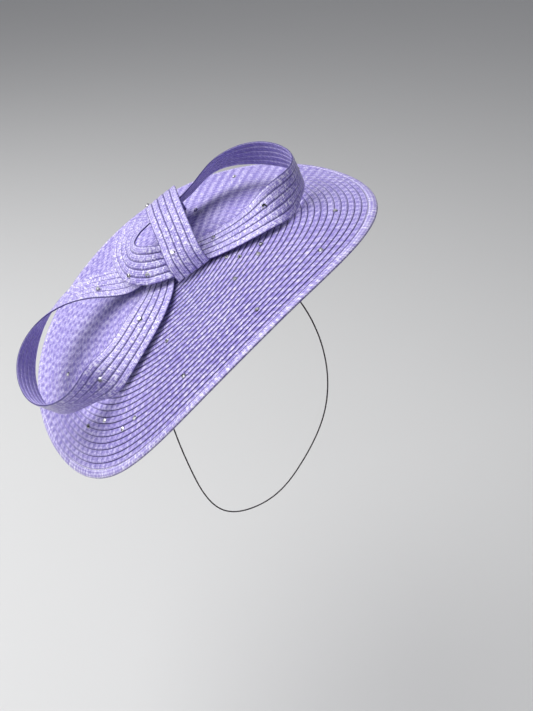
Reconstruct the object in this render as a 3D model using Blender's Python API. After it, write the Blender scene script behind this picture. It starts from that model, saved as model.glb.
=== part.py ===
"""Saucer fascinator: a spiral-sewn braid brim, a looped braid bow, a head cap and its elastic.

Units are metres. +Z is up, -Y is the front and +X is the wearer's left as the hat is worn.
The origin is the inside top of the head cap, where the hat rests on the head.
The brim, bow and cap are laid out level in a hat frame (along, front, lift) and tilted once.
"""
import math

import bmesh
import bpy
import numpy as np
from mathutils import Matrix, Vector

MM = 0.001

# --- how the hat is worn ------------------------------------------------------------------
TURN = math.radians(35.6)        # the long axis turned away from the wearer's side
RISE = math.radians(37.85)       # the raised end above the drooping end
LEAN = math.radians(-13.4)       # a little forward dip

# --- brim ---------------------------------------------------------------------------------
BRIM_RADIUS = 177 * MM
EDGE_ROW = 6 * MM                # width of the folded outer row
BRAID = 1.8 * MM                 # thickness of the sewn straw
GAP = 0.35 * MM                  # free gap between touching pieces
BEND_RAISED = 254 * MM           # radius the raised end is bent to
BEND_LOW = 385 * MM              # radius the drooping end is bent to
OVAL = 0.019                     # blocked a little longer than wide
HEART = -0.0213                  # flatter towards the front edge
LOPSIDED = 0.0074                # fuller at the raised end
FRONT_SAG = 0.0887               # metres of drop per square metre, front and back
TWIST = -0.169                   # propeller twist of the disc
END_DIP = -2.87                  # front corners dip more than the back ones
FRONT_LIP = 0.413                # upturn of the front edge
CORNER_LIFT = 4.76               # counter-curve of the low front corner
RAISED_DIP = -2.60               # droop of the raised end's corners
RINGS = 13                       # facets from the centre to the edge
SPOKES = 56                      # facets round the edge

# --- rim wire and head cap ----------------------------------------------------------------
WIRE = 0.6 * MM                  # radius of the millinery wire
WIRE_INSET = 9.5 * MM
CAP_SPHERE = 88 * MM             # inside radius of the cap, to sit on a head
CAP_RIM = 58 * MM
CAP_WALL = 1.5 * MM
BAND_WIDTH = 18 * MM             # petersham ribbon inside the cap's rim
BAND = 0.8 * MM
CAP_SPOKES = 40

# --- bow ----------------------------------------------------------------------------------
RIBBON = 31 * MM                 # five braid rows sewn side by side
RIBBON_THICK = 1.4 * MM
CAMBER = 0.5 * MM                # the ribbon's middle stands a little proud
# Stations: along, front, lift in mm, then the direction across the ribbon.
LEFT_LOOP = (
    (-2, -4, 4, 0.68, 0.73, 0.0), (-15, 12, 5.5, 0.7, 0.7, -0.1),
    (-30, 32, 10, 0.66, 0.68, -0.32), (-77, 44, 13, 0.3, 0.8, -0.52),
    (-121, 35, 24, 0.36, -0.3, -0.88), (-148, -9, 36, 0.14, -0.29, -0.95),
    (-134, -51, 42, -0.09, -0.47, -0.88), (-92, -68, 39, 0.05, -0.9, -0.43),
    (-50, -59, 25, 0.4, -0.9, 0.1), (-21, -37, 8, 0.69, -0.67, 0.2), (-8, -26, 6, 0.7, -0.7, 0.1))
RIGHT_LOOP = (
    (12, 4, 8, -0.42, 0.9, 0.0), (26, 21, 6, -0.42, 0.9, -0.05),
    (77, 57, 13.5, -0.5, 0.74, -0.46), (115, 46, 21, -0.45, -0.04, -0.89),
    (135, 12, 29, -0.13, -0.14, -0.98), (128, -27, 33, 0.0, -0.39, -0.92),
    (96, -51, 30, 0.07, -0.8, -0.6), (73, -52, 23, -0.05, -0.85, -0.52),
    (52, -49, 21, -0.05, -0.88, -0.45))
CURL = (
    (47, -49, 21.5, -0.05, -0.9, -0.4), (32, -50, 26, -0.1, -0.98, -0.1),
    (14, -50, 30, -0.4, -0.9, 0.1), (-2, -42, 31, -0.8, -0.5, 0.0),
    (-12, -27, 28, -0.9, -0.15, -0.35), (-14, -4, 26, -0.82, 0.12, -0.5),
    (-7, 10, 22, -0.5, 0.5, -0.6), (5, 15, 15, -0.4, 0.7, -0.55))
WRAP = (
    (10.5, 37.5, 3.4, 0.9, 0.4, 0.06), (12, 36, 13, 0.87, 0.45, -0.1),
    (20, 24, 26, 0.82, 0.55, -0.1), (30, 6, 37, 0.78, 0.6, -0.1), (38, -14, 41, 0.78, 0.6, -0.05),
    (44, -36, 38.5, 0.8, 0.58, 0.0), (47, -59, 30, 0.8, 0.55, 0.1),
    (48, -78, 16, 0.84, 0.5, -0.1), (47, -85, 2.8, 0.83, 0.48, -0.17))
CORE_AT = (27, -9, 21)           # rolled braid end that fills the knot
CORE_SIZE = (11, 13, 8)

# --- crystals -----------------------------------------------------------------------------
STONE_RADIUS = 2.1 * MM
STONE_HEIGHT = 1.6 * MM
BRIM_STONES = (
    (-120, -58), (119, 82), (74, 132), (-59, 126), (8, 147), (21, 91), (-106, 89), (-125, 42),
    (-139, 18), (-119, 78), (-46, 72), (118, -88), (63, -62), (34, 54), (39, 68), (48, 84),
    (57, 73), (161, -43))
BOW_STONES = (
    ("left", 0.875, -0.2), ("left", 0.165, -0.1), ("left", 0.305, -0.05),
    ("right", 0.13, -0.2), ("right", 0.31, -0.15), ("curl", 0.86, 0.24), ("curl", 0.72, 0.3),
    ("wrap", 0.13, -0.2), ("wrap", 0.64, -0.4))

# --- elastic ------------------------------------------------------------------------------
ELASTIC = 0.65 * MM              # radius of the round hat elastic
KNOT = 2.3 * MM
ATTACH = (54.5, -28.5)           # where each end leaves the cap's rim: along and down, mm
# Route in the worn frame from the low side of the cap, under the occiput, to the raised side.
ELASTIC_ROUTE = (
    (-6, -11, -140), (9, 0, -201), (20, 10, -235), (44, 27, -266), (77, 42, -264),
    (110, 47, -222), (131, 45, -158), (126, 40, -88), (96, 34, -28))
ELASTIC_POINTS = 76

LILAC = (0.40, 0.34, 0.74)
HAT = Matrix.Rotation(TURN, 3, "Z") @ Matrix.Rotation(-RISE, 3, "Y") @ Matrix.Rotation(LEAN, 3, "X")
CROWN = BRAID + GAP + CAP_WALL   # from the cap's inside top to the brim's upper face


def bent(arc):
    """Height and reach of the bent disc at an arc length along its long axis."""
    radius = BEND_LOW + (BEND_RAISED - BEND_LOW) / (1 + math.exp(-arc / 0.012))
    angle = arc / radius
    return radius * math.sin(angle), radius * (math.cos(angle) - 1)


def arc_of(reach):
    """Arc length along the disc for a straight reach along the long axis."""
    arc = reach
    for _ in range(8):
        arc += reach - bent(arc)[0]
    return arc


def braid_height(arc, front):
    """Height of the brim's upper face in the hat frame."""
    return (bent(arc)[1] - FRONT_SAG * front ** 2 + TWIST * arc * front
            + END_DIP * front * arc ** 2 + FRONT_LIP * front ** 3
            + CORNER_LIFT * front * arc ** 3 + RAISED_DIP * arc * front ** 2)


def worn(along, front, height):
    """Point of the tilted hat from hat-frame metres."""
    return HAT @ Vector((along, -front, height + CROWN))


def on_brim(arc, front, lift):
    """Point a lift above the brim, by arc length and distance to the front."""
    return worn(bent(arc)[0], front, braid_height(arc, front) + lift)


def over_brim(along, front, lift):
    """Point a lift above the brim, by straight reach."""
    return worn(along, front, braid_height(arc_of(along), front) + lift)


def ring(radius, lift):
    """One ring of points of the brim, following its blocked outline."""
    points = []
    for k in range(SPOKES):
        turn = 2 * math.pi * k / SPOKES
        shape = OVAL * math.cos(2 * turn) + LOPSIDED * math.cos(3 * turn) + HEART * math.sin(3 * turn)
        reach = radius * (1 + shape * radius / BRIM_RADIUS)
        points.append(on_brim(reach * math.cos(turn), reach * math.sin(turn), lift))
    return points


def material(name, colour, roughness, metallic=0.0, alpha=1.0):
    """Principled material of one sub-part."""
    finish = bpy.data.materials.new(name)
    finish.use_nodes = True
    shader = finish.node_tree.nodes["Principled BSDF"]
    shader.inputs["Base Color"].default_value = (*colour, 1.0)
    shader.inputs["Roughness"].default_value = roughness
    shader.inputs["Metallic"].default_value = metallic
    shader.inputs["Alpha"].default_value = alpha
    return finish


def add(name, bm, finish, sharp=35):
    """Turn a bmesh into a named, smooth-shaded object."""
    bmesh.ops.recalc_face_normals(bm, faces=bm.faces)
    mesh = bpy.data.meshes.new(name)
    bm.to_mesh(mesh)
    bm.free()
    mesh.materials.append(finish)
    mesh.shade_smooth()
    mesh.set_sharp_from_angle(angle=math.radians(sharp))
    part = bpy.data.objects.new(name, mesh)
    bpy.context.scene.collection.objects.link(part)
    return part


def loft(loops, closed=False):
    """Extrude a ring of edges from loop to loop, then bridge or cap the ends."""
    bm = bmesh.new()
    count = len(loops[0])
    ring_verts = [bm.verts.new(p) for p in loops[0]]
    first = [bm.edges.new((ring_verts[k], ring_verts[(k + 1) % count])) for k in range(count)]
    edges = first
    for loop in loops[1:]:
        order = {tuple(v.co): k for k, v in enumerate(ring_verts)}
        grown = bmesh.ops.extrude_edge_only(bm, edges=edges)["geom"]
        fresh = [v for v in grown if isinstance(v, bmesh.types.BMVert)]
        ring_verts = sorted(fresh, key=lambda v: order[tuple(v.co)])
        for vert, place in zip(ring_verts, loop):
            vert.co = place
        edges = [bm.edges.get((ring_verts[k], ring_verts[(k + 1) % count])) for k in range(count)]
    if closed:
        bmesh.ops.bridge_loops(bm, edges=first + edges)
        return bm
    for end in (first, edges):
        cap = bmesh.ops.edgeloop_fill(bm, edges=end)["faces"]
        bmesh.ops.poke(bm, faces=cap)
    return bm


def smooth_row(points, count):
    """Evenly spaced points of a smooth curve through the given ones."""
    route = np.array(points, dtype=float)
    n = len(route)
    step = np.linalg.norm(np.diff(route[:, :3], axis=0), axis=1)
    at = np.concatenate(([0.0], np.cumsum(step)))
    # natural cubic spline
    system = np.eye(n)
    right = np.zeros_like(route)
    for i in range(1, n - 1):
        system[i, i - 1:i + 2] = (step[i - 1], 2 * (step[i - 1] + step[i]), step[i])
        right[i] = 6 * ((route[i + 1] - route[i]) / step[i] - (route[i] - route[i - 1]) / step[i - 1])
    bow = np.linalg.solve(system, right)
    rows = []
    for s in np.linspace(0, at[-1], count):
        i = min(int(np.searchsorted(at, s, side="right")) - 1, n - 2)
        a = (at[i + 1] - s) / step[i]
        b = 1 - a
        rows.append(a * route[i] + b * route[i + 1]
                    + ((a ** 3 - a) * bow[i] + (b ** 3 - b) * bow[i + 1]) * step[i] ** 2 / 6)
    return rows


def ribbon_frames(stations, count):
    """Centre, across and outward directions of a ribbon in the worn frame."""
    rows = smooth_row(stations, count)
    centres = [over_brim(r[0] * MM, r[1] * MM, r[2] * MM) for r in rows]
    frames = []
    for k, r in enumerate(rows):
        ahead = (centres[min(k + 1, count - 1)] - centres[max(k - 1, 0)]).normalized()
        across = HAT @ Vector((r[3], -r[4], r[5]))
        across = (across - ahead * across.dot(ahead)).normalized()
        frames.append((centres[k], across, across.cross(ahead)))
    return frames


def ribbon(name, stations, count, finish, side):
    """Flat braid ribbon swept along its stations; side picks the outer face."""
    loops = []
    for centre, across, out in ribbon_frames(stations, count):
        out = out * side
        edge = across * RIBBON / 2
        half = out * RIBBON_THICK / 2
        crest = out * CAMBER
        loops.append([centre - edge + half, centre + half + crest, centre + edge + half,
                      centre + edge - half, centre - half + crest, centre - edge - half])
    return add(name, loft(loops), finish)


def stone(name, seat, up, finish):
    """Faceted flat-backed crystal: girdle, crown and table."""
    up = up.normalized()
    side = up.orthogonal().normalized()
    fore = up.cross(side)
    loops = []
    for radius, height in ((0.9, 0.0), (1.0, 0.3), (0.55, 1.0)):
        loop = []
        for k in range(6):
            turn = math.pi * k / 3
            spoke = side * math.cos(turn) + fore * math.sin(turn)
            loop.append(seat + spoke * radius * STONE_RADIUS + up * height * STONE_HEIGHT)
        loops.append(loop)
    return add(name, loft(loops), finish, sharp=10)


def build_brim():
    """Sewn braid disc, its folded edge row and the wire sewn under it."""
    inner = BRIM_RADIUS - EDGE_ROW - GAP
    radii = [inner * (k + 1) / RINGS for k in range(RINGS)]
    loops = [ring(r, 0.0) for r in radii] + [ring(r, -BRAID) for r in reversed(radii)]
    add("brim_braid", loft(loops), material("brim_braid", LILAC, 0.42))
    profile = ((0, 0.1), (2, 0.6), (5, 0.4), (6, -0.9), (5, -2.2), (2, -2.4), (0, -1.9))
    start = BRIM_RADIUS - EDGE_ROW
    loops = [ring(start + a * MM, b * MM) for a, b in profile]
    add("brim_edge_row", loft(loops, closed=True), material("brim_edge_row", LILAC, 0.42))
    loops = []
    for k in range(6):
        turn = math.pi * k / 3
        loops.append(ring(BRIM_RADIUS - WIRE_INSET + WIRE * math.cos(turn),
                          -BRAID - GAP - 1.3 * WIRE + WIRE * math.sin(turn)))
    add("brim_wire", loft(loops, closed=True), material("brim_wire", (0.62, 0.58, 0.72), 0.45))


def dome_ring(radius, reach):
    """Ring on a sphere that hangs below the brim, tangent at the cap's inside top."""
    drop = radius - math.sqrt(radius ** 2 - reach ** 2)
    top = radius - CAP_SPHERE - CROWN
    points = []
    for k in range(CAP_SPOKES):
        turn = 2 * math.pi * k / CAP_SPOKES
        points.append(worn(reach * math.cos(turn), reach * math.sin(turn), top - drop))
    return points


def build_cap():
    """Skull cap under the brim and the petersham band inside its rim."""
    outer = CAP_SPHERE + CAP_WALL
    steps = [CAP_RIM * k / 5 for k in range(1, 6)]
    loops = [dome_ring(outer, r) for r in steps] + [dome_ring(CAP_SPHERE, r) for r in reversed(steps)]
    add("head_cap", loft(loops), material("head_cap", LILAC, 0.55))
    faced = CAP_SPHERE - GAP
    lining = faced - BAND
    steps = [CAP_RIM - BAND_WIDTH + 5 * MM * k for k in range(4)]
    loops = [dome_ring(faced, r) for r in steps] + [dome_ring(lining, r) for r in reversed(steps)]
    add("cap_band", loft(loops, closed=True), material("cap_band", (0.33, 0.27, 0.62), 0.7))


def build_bow():
    """Left loop, right loop with its curl, the wrap and the core it is sewn round."""
    straw = {k: material(f"bow_{k}", LILAC, 0.4) for k in ("left", "right", "curl", "wrap")}
    ribbon("bow_left_loop", LEFT_LOOP, 60, straw["left"], -1)
    ribbon("bow_right_loop", RIGHT_LOOP, 52, straw["right"], 1)
    ribbon("bow_curl", CURL, 30, straw["curl"], 1)
    ribbon("bow_wrap", WRAP, 26, straw["wrap"], 1)
    loops = []
    for tilt in (-60, -30, 0, 30, 60):
        lift = math.sin(math.radians(tilt))
        girth = math.cos(math.radians(tilt))
        loop = []
        for k in range(12):
            turn = math.pi * k / 6
            loop.append(over_brim((CORE_AT[0] + CORE_SIZE[0] * girth * math.cos(turn)) * MM,
                                  (CORE_AT[1] + CORE_SIZE[1] * girth * math.sin(turn)) * MM,
                                  (CORE_AT[2] + CORE_SIZE[2] * lift) * MM))
        loops.append(loop)
    add("bow_core", loft(loops), material("bow_core", LILAC, 0.6))


def build_stones():
    """Flat-backed crystals scattered over the brim and the bow."""
    up = HAT @ Vector((0, 0, 1))
    for number, (arc, front) in enumerate(BRIM_STONES, 1):
        arc, front = arc * MM, front * MM
        step = 2 * MM
        fore = on_brim(arc, front + step, 0) - on_brim(arc, front - step, 0)
        side = on_brim(arc + step, front, 0) - on_brim(arc - step, front, 0)
        normal = fore.cross(side)
        normal = normal if normal.dot(up) > 0 else -normal
        crystal = material(f"brim_crystal_{number:02d}", (0.86, 0.87, 0.9), 0.05, 0.0, 0.6)
        stone(f"brim_crystal_{number:02d}", on_brim(arc, front, 0.6 * MM), normal, crystal)
    ribbons = {"left": (LEFT_LOOP, -1), "right": (RIGHT_LOOP, 1), "curl": (CURL, 1), "wrap": (WRAP, 1)}
    for number, (which, part, offset) in enumerate(BOW_STONES, 1):
        stations, side = ribbons[which]
        frames = ribbon_frames(stations, 201)
        centre, across, out = frames[round(part * 200)]
        out = out * side
        seat = centre + across * RIBBON * offset + out * (RIBBON_THICK / 2 + CAMBER + 0.8 * MM)
        crystal = material(f"bow_crystal_{number:02d}", (0.86, 0.87, 0.9), 0.05, 0.0, 0.6)
        stone(f"bow_crystal_{number:02d}", seat, out, crystal)


def build_elastic():
    """Round elastic from one side of the cap to the other, with a knot at each end."""
    reach, down = (v * MM for v in ATTACH)
    low = worn(-reach, 0, down)
    high = worn(reach, 0, down)
    route = [tuple(v / MM for v in low), *ELASTIC_ROUTE, tuple(v / MM for v in high)]
    cord = bpy.data.curves.new("elastic_cord", "CURVE")
    cord.dimensions = "3D"
    cord.bevel_depth = ELASTIC
    cord.bevel_resolution = 2
    cord.use_fill_caps = True
    line = cord.splines.new("POLY")
    line.points.add(ELASTIC_POINTS - 1)
    for point, at in zip(line.points, smooth_row(route, ELASTIC_POINTS)):
        point.co = (at[0] * MM, at[1] * MM, at[2] * MM, 1.0)
    cord.materials.append(material("elastic_cord", (0.035, 0.028, 0.03), 0.75))
    bpy.context.scene.collection.objects.link(bpy.data.objects.new("elastic_cord", cord))
    for side, sign in (("low", -1), ("raised", 1)):
        middle = worn(sign * (reach - 5.5 * MM), 0, down + 2.2 * MM)
        bm = bmesh.new()
        bmesh.ops.create_uvsphere(bm, u_segments=10, v_segments=6, radius=KNOT)
        bmesh.ops.translate(bm, verts=bm.verts, vec=middle)
        add(f"elastic_knot_{side}", bm, material(f"elastic_knot_{side}", (0.035, 0.028, 0.03), 0.75))


def main():
    for item in list(bpy.data.objects):
        bpy.data.objects.remove(item, do_unlink=True)
    build_brim()
    build_cap()
    build_bow()
    build_stones()
    build_elastic()


main()
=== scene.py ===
"""Looks of a lilac saucer fascinator: sewn straw rows, a looped bow, stones, a cap and its elastic.

Metres, +Z up, -Y to the front, as the hat is worn. The disc, bow and cap are laid out level in a
hat frame (along, front, lift) and tilted once, so every piece shares one shape.
"""

import logging
import math
from dataclasses import dataclass
from enum import Enum
from typing import Any, Sequence

import bmesh
import bpy
import numpy as np
from mathutils import Matrix, Vector


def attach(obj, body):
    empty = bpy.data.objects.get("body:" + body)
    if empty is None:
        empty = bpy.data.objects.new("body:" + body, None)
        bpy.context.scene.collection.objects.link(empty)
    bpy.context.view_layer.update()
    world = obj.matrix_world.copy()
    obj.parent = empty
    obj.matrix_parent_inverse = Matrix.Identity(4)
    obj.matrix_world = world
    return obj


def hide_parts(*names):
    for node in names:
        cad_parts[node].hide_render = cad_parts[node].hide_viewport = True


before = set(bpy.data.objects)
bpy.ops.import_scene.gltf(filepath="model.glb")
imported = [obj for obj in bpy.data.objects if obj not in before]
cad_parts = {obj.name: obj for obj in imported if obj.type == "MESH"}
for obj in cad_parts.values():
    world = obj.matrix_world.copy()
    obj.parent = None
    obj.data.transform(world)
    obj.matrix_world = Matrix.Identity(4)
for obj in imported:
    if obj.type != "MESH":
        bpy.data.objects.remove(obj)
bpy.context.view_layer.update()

LOG = logging.getLogger("fascinator")
MM = 0.001
UV = "rows"
ROOT = "root"
PLAIT = 5.2 * MM  # length of one repeat of the plaited straw
COVER = 1.5 * MM  # length of one repeat of the elastic's cover
SEED = 7
TINY = 1e-6
NO_INNER = 99.0  # row coordinate past every row: no face counts as an inner one or gets the painted inner-face shade

Colour = tuple[float, float, float]


# ---- Shader maths ----------------------------
class Value:
    """A number that varies over a surface, so that shader maths reads as arithmetic."""

    def __init__(self, graph: "Graph", socket: Any) -> None:
        """Wrap an output socket of the graph that carries the number."""
        self.graph = graph
        self.socket = socket

    def _do(self, operation: str, *others: Any) -> "Value":
        """Add one Math node and give its result."""
        return self.graph.maths(operation, self, *others)

    def __add__(self, other: Any) -> "Value":
        """Sum."""
        return self._do("ADD", other)

    def __radd__(self, other: Any) -> "Value":
        """Sum, from the right."""
        return self._do("ADD", other)

    def __sub__(self, other: Any) -> "Value":
        """Difference."""
        return self._do("SUBTRACT", other)

    def __rsub__(self, other: Any) -> "Value":
        """Difference, from the right."""
        return self.graph.maths("SUBTRACT", other, self)

    def __mul__(self, other: Any) -> "Value":
        """Product."""
        return self._do("MULTIPLY", other)

    def __rmul__(self, other: Any) -> "Value":
        """Product, from the right."""
        return self._do("MULTIPLY", other)

    def __pow__(self, other: Any) -> "Value":
        """Power."""
        return self._do("POWER", other)

    def sin(self) -> "Value":
        """Sine, in radians."""
        return self._do("SINE")

    def abs(self) -> "Value":
        """Size without its sign."""
        return self._do("ABSOLUTE")

    def floor(self) -> "Value":
        """Whole part."""
        return self._do("FLOOR")

    def fract(self) -> "Value":
        """Part after the point."""
        return self._do("FRACT")

    def over(self, edge: float) -> "Value":
        """1 where the value is above the edge, else 0."""
        return self._do("GREATER_THAN", edge)

    def ramp(self, low: float, high: float) -> "Value":
        """Smooth rise from 0 at low to 1 at high, which may be below low for a fall."""
        t = self.graph.maths("MULTIPLY", self - low, 1 / (high - low), clamp=True)
        return t * t * (3 - 2 * t)


class Graph:
    """The node graph of one finish."""

    def __init__(self, name: str) -> None:
        """Start a material with an empty graph.

        Args:
            name: The material's name.
        """
        self.material = bpy.data.materials.new(name)
        self.material.use_nodes = True
        self.tree = self.material.node_tree
        self.tree.nodes.clear()

    def node(self, kind: str, settings: dict[str, Any] | None = None, **sockets: Any) -> Any:
        """Add any node.

        Args:
            kind: The node's type, without its ShaderNode prefix.
            settings: Attributes that are set before the sockets.
            sockets: Values or links of its inputs, by name, with _ for a space.

        Returns:
            The node.
        """
        made = self.tree.nodes.new(f"ShaderNode{kind}")
        for key, value in (settings or {}).items():
            setattr(made, key, value)
        for key, value in sockets.items():
            self.feed(made.inputs[key.replace("_", " ")], value)
        return made

    def feed(self, socket: Any, value: Any) -> None:
        """Link or set one input.

        Args:
            socket: The input socket.
            value: A Value, an output socket, a number, a colour or a vector.
        """
        value = value.socket if isinstance(value, Value) else value
        if isinstance(value, bpy.types.NodeSocket):
            self.tree.links.new(value, socket)
        elif isinstance(value, tuple) and socket.type == "RGBA":
            socket.default_value = (*value[:3], 1.0)
        else:
            socket.default_value = value

    def maths(self, operation: str, *operands: Any, clamp: bool = False) -> Value:
        """Add a Math node.

        Args:
            operation: The operation.
            operands: Numbers or values.
            clamp: Whether the result is kept between 0 and 1.

        Returns:
            Its result.
        """
        made = self.node("Math", {"operation": operation, "use_clamp": clamp})
        for socket, value in zip(made.inputs, operands):
            self.feed(socket, value)
        return Value(self, made.outputs[0])

    def mix(self, share: Any, first: Any, second: Any) -> Any:
        """Mix two colours.

        Args:
            share: How much of the second colour, 0 to 1.
            first: The first colour, or the socket that gives it.
            second: The second colour.

        Returns:
            The output socket.
        """
        made = self.node("Mix", {"data_type": "RGBA", "clamp_factor": True})
        for position, value in ((0, share), (6, first), (7, second)):
            self.feed(made.inputs[position], value)
        return made.outputs[2]

    def rows(self) -> tuple[Value, Value]:
        """The piece's own UV map as two values."""
        chart = self.node("UVMap", {"uv_map": UV})
        split = self.node("SeparateXYZ", Vector=chart.outputs[0])
        return Value(self, split.outputs[0]), Value(self, split.outputs[1])

    def noise(self, scale: float, detail: float = 3.0, roughness: float = 0.5) -> Value:
        """Cloudy variation in the hat's own metres.

        Args:
            scale: Clouds per metre.
            detail: Octaves.
            roughness: Strength of the finer octaves.

        Returns:
            A value around 0.5.
        """
        place = self.node("TexCoord").outputs["Object"]
        made = self.node("TexNoise", Vector=place, Scale=scale, Detail=detail, Roughness=roughness)
        return Value(self, made.outputs[0])

    def speckle(self, along: Value, across: Value) -> Value:
        """A random number for each cell of the given whole numbers."""
        cell = self.node("CombineXYZ", X=along, Y=across)
        made = self.node("TexWhiteNoise", {"noise_dimensions": "2D"}, Vector=cell.outputs[0])
        return Value(self, made.outputs[0])

    def bump(self, height: Value, distance: float) -> Any:
        """Relief whose height of 1 stands for a distance in metres."""
        return self.node("Bump", Height=height, Distance=distance, Strength=1.0).outputs[0]

    def surface(self, **sockets: Any) -> bpy.types.Material:
        """Add the Principled shader and close the graph.

        Args:
            sockets: Its inputs, with _ for a space.

        Returns:
            The material.
        """
        shader = self.node("BsdfPrincipled", **sockets)
        out = self.node("OutputMaterial")
        self.tree.links.new(shader.outputs[0], out.inputs[0])
        return self.material


# ---- Finishes --------------------------------
def toned(colour: Colour, share: float) -> Colour:
    """The same colour, darker or lighter."""
    return tuple(min(1.0, c * share) for c in colour)


@dataclass(frozen=True)
class Straw:
    """Glossy plaited straw, sewn row beside row."""

    name: str
    # Colour of the painted highlight flecks.
    light: Colour = (0.97, 0.95, 1.0)
    body: Colour = (0.54, 0.475, 0.83)
    # Deeper straw of the plait, also the colour of the painted shade in its hollows and on inner
    # faces.
    deep: Colour = (0.165, 0.12, 0.46)
    # Colour of the painted shadow in the seams between rows.
    seam_shadow: Colour = (0.03, 0.014, 0.17)
    groove: float = 0.13  # share of a row that the painted shadow in the seams takes
    strands: int = 4  # straws crossed in one repeat
    eye: float = 0.5  # depth of the painted shade in the hollow of each repeat
    painted_highlight: float = 0.8  # strength of the painted highlight flecks
    inside: float = 9.5  # row coordinate from which a face is an inner one and gets painted shade
    gloss: float = 0.30

    def make(self) -> bpy.types.Material:
        """Build the finish: plait, painted shade in its hollows and on inner faces, painted shadow
        in the seams between rows, tone of each row, painted highlight flecks and gloss.
        """
        g = Graph(self.name)
        u, v = g.rows()
        row, t = v.floor(), v.fract()
        wander = (g.noise(170.0, 2.0) - 0.5) * 0.55
        beat = (u * 2 * math.pi + wander).sin() * 0.5 + 0.5
        arch = 1 - (2 * t - 1) * (2 * t - 1)
        pillow = (1 - beat * 0.75) * arch ** 0.5
        # Painted shade in the hollow between the plait's pillows.
        eye = beat ** 1.5 * arch ** 1.5
        turn = u * 2 * self.strands * math.pi + wander * 2
        cross = (turn + t * 4 * math.pi).sin() * (turn - t * 4 * math.pi).sin()
        strand = cross * 0.5 + 0.5
        fleck = g.speckle((u * self.strands * 1.5 + t * 2).floor(), (v * 4).floor())
        cloud = g.noise(26.0)
        fibre = g.noise(1400.0, 2.0)
        tone = g.speckle(row, row * 0.37)
        # Painted highlight flecks, where gloss would catch the light.
        glint = (fleck * 0.6 + strand * 0.4).ramp(0.50, 0.86)
        shade = (strand * 0.45 + fleck * 0.3 + tone * 0.12 + cloud * 0.35).ramp(0.25, 0.95)
        straw = g.mix(shade, self.deep, self.body)
        lit = g.mix(glint * self.painted_highlight, straw, self.light)
        hollow_shaded = g.mix(eye * self.eye, lit, self.deep)
        # Painted shadow along both edges of each row, where the seams between rows lie.
        gap = t.ramp(self.groove, 0.02) + t.ramp(0.945, 0.97)
        inside = v.over(self.inside)
        lined = g.mix(gap * (1 - inside), hollow_shaded, self.seam_shadow)
        # Inner faces: painted shade over each row, with the row edges left paler as painted light
        # lines.
        lined = g.mix(inside * 0.55, lined, g.mix(gap, self.deep, self.body))
        relief = pillow * 0.60 + strand * 0.28 + fibre * 0.06 + fleck * 0.12
        rough = self.gloss + 0.22 * fleck - 0.08 * strand + 0.10 * cloud
        return g.surface(
            Base_Color=lined, Roughness=rough, Normal=g.bump(relief, 0.75 * MM),
            Specular_IOR_Level=0.7, Coat_Weight=0.3, Coat_Roughness=0.2)


@dataclass(frozen=True)
class WrappedWire:
    """Millinery wire under a tight spiral of cotton."""

    name: str
    colour: Colour = (0.50, 0.46, 0.66)

    def make(self) -> bpy.types.Material:
        """Build the finish: turns of thread with a little lint."""
        g = Graph(self.name)
        u, v = g.rows()
        turn = ((u * 8 + v) * 2 * math.pi).sin() * 0.5 + 0.5
        cloud = g.noise(90.0)
        colour = g.mix(turn * 0.7 + cloud * 0.3, toned(self.colour, 0.55), self.colour)
        return g.surface(Base_Color=colour, Roughness=0.62 + cloud * 0.2,
                         Normal=g.bump(turn + g.noise(2500.0) * 0.2, 0.12 * MM))


@dataclass(frozen=True)
class Cloth:
    """Plain-woven cotton over the stiffened cap."""

    name: str
    colour: Colour = (0.40, 0.35, 0.70)
    threads: float = 1.6

    def make(self) -> bpy.types.Material:
        """Build the finish: warp and weft, slubs and rubbed patches."""
        g = Graph(self.name)
        u, v = g.rows()
        k = math.pi * self.threads
        warp, weft = (u * k).sin(), (v * k).sin()
        weave = (warp * weft * 0.5 + 0.5) * 0.7 + (warp.abs() + weft.abs()) * 0.15
        slub = g.noise(420.0, 4.0, 0.7)
        rub = g.noise(38.0).ramp(0.42, 0.7)
        colour = g.mix(weave * 0.6 + slub * 0.4, toned(self.colour, 0.62), self.colour)
        worn = g.mix(rub * 0.35, colour, toned(self.colour, 1.25))
        return g.surface(Base_Color=worn, Roughness=0.72 + slub * 0.18,
                         Normal=g.bump(weave + slub * 0.3, 0.16 * MM), Sheen_Weight=0.25)


@dataclass(frozen=True)
class Petersham:
    """Ribbed ribbon inside the cap, with a picot edge."""

    name: str
    colour: Colour = (0.28, 0.22, 0.56)

    def make(self) -> bpy.types.Material:
        """Build the finish: cross ribs, a plain woven edge and faint handling marks."""
        g = Graph(self.name)
        u, v = g.rows()
        rib = (u * 2 * math.pi).sin() * 0.5 + 0.5
        edge = v.ramp(0.08, 0.03) + v.ramp(0.92, 0.97)
        mark = g.noise(60.0)
        colour = g.mix(rib * 0.55 + mark * 0.45, toned(self.colour, 0.55), self.colour)
        trimmed = g.mix(edge * 0.6, colour, toned(self.colour, 1.35))
        return g.surface(Base_Color=trimmed, Roughness=0.6 + mark * 0.25,
                         Normal=g.bump(rib * (1 - edge * 0.5), 0.3 * MM), Sheen_Weight=0.2)


@dataclass(frozen=True)
class BraidedElastic:
    """Round hat elastic with a braided cover."""

    name: str
    colour: Colour = (0.040, 0.030, 0.034)

    def make(self) -> bpy.types.Material:
        """Build the finish: crossing cover threads and a few paler rubbed spots."""
        g = Graph(self.name)
        u, v = g.rows()
        one, two = ((u + v * 4) * 2 * math.pi).sin(), ((u - v * 4) * 2 * math.pi).sin()
        cover = one * two * 0.5 + 0.5
        rub = g.noise(300.0).ramp(0.45, 0.75)
        colour = g.mix(cover * 0.6 + rub * 0.4, toned(self.colour, 0.5),
                       toned(self.colour, 2.2))
        return g.surface(Base_Color=colour, Roughness=0.66 + rub * 0.2,
                         Normal=g.bump(cover, 0.1 * MM))


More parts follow.
